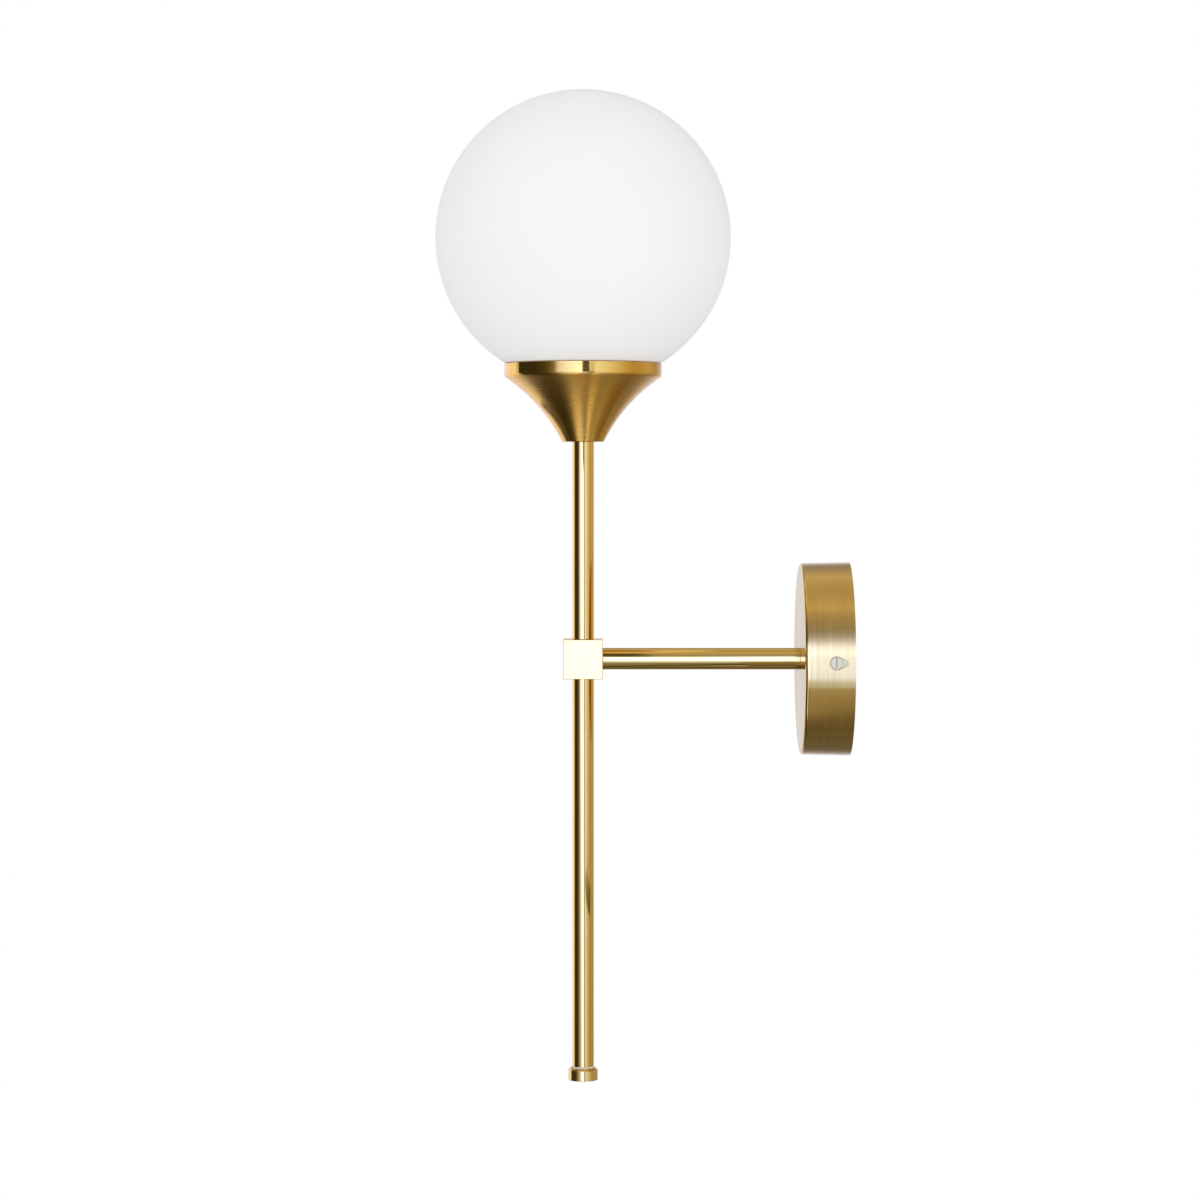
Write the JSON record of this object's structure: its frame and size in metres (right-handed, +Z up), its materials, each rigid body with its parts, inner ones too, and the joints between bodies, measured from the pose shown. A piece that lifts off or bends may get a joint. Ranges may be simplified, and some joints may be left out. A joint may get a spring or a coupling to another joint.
{
  "type": "globe wall sconce",
  "caption": "Wall light with an opal glass globe in a trumpet-shaped brass cup on an upright tube, carried by an arm from a round wall canopy.",
  "frame": {"origin": "middle of the wall bracket's back, on the wall and on the arm's axis", "axes": "+Z up; +Y into the wall, so the lamp stands out towards -Y; +X to the right as seen from in front"},
  "size_m": [0.15, 0.21, 0.5025],
  "materials": {
    "opal_glass": "acid-etched opal glass, matt white outside",
    "silicone": "translucent white silicone",
    "aluminium": "turned aluminium",
    "brushed_brass": "brass, brushed round the axis, lacquered",
    "polished_brass": "brass, polished, lacquered",
    "zinc_steel": "zinc-plated steel",
    "nickel": "nickel plate",
    "white_plastic": "white moulded plastic",
    "ceramic": "white glazed ceramic",
    "bulb_glass": "frosted bulb glass",
    "led_yellow": "phosphor-coated core",
    "terminal_brass": "plain machined brass",
    "brown_insulation": "brown silicone lead",
    "blue_insulation": "blue silicone lead",
    "green_insulation": "green and yellow lead"
  },
  "bodies": {
    "sconce": {"shade_seal": "silicone", "shade_carrier": "aluminium", "lamp_cup": "brushed_brass", "cup_nipple": "zinc_steel", "cup_washer": "zinc_steel", "cup_nut": "zinc_steel", "carrier_nuts": "zinc_steel", "cup_bush": "white_plastic", "lampholder_strap": "zinc_steel", "lampholder_body": "ceramic", "lampholder_contacts": "nickel", "lampholder_screws": "zinc_steel", "upper_tube": "polished_brass", "lower_tube": "polished_brass", "arm_tube": "polished_brass", "junction_cube": "polished_brass", "upper_nipple": "zinc_steel", "lower_nipple": "zinc_steel", "arm_nipple": "zinc_steel", "finial_cap": "polished_brass", "finial_ring": "nickel", "finial_nipple": "zinc_steel", "canopy": "brushed_brass", "canopy_nipple": "zinc_steel", "canopy_washer": "zinc_steel", "canopy_nut": "zinc_steel", "canopy_bush": "white_plastic", "canopy_screws": "nickel", "wall_bracket": "zinc_steel", "terminal_block": "white_plastic", "terminal_barrels": "terminal_brass", "terminal_screws": "zinc_steel", "terminal_fixing_screws": "zinc_steel", "earth_screw": "zinc_steel", "earth_lug": "nickel", "neutral_lead": "blue_insulation", "live_lead": "brown_insulation", "earth_lead": "green_insulation"},
    "globe": {"globe_shade": "opal_glass", "globe_neck": "opal_glass"},
    "bulb": {"bulb_base": "ceramic", "bulb_envelope": "bulb_glass", "bulb_core": "led_yellow", "bulb_pins": "nickel"}
  },
  "joints": [
    {"name": "globe_lift", "type": "slide", "parent": "sconce", "child": "globe", "axis": [0, 0, 1], "range_m": [0, 0.1]},
    {"name": "bulb_pull", "type": "slide", "parent": "sconce", "child": "bulb", "axis": [0, 0, 1], "range_m": [0, 0.03]}
  ]
}
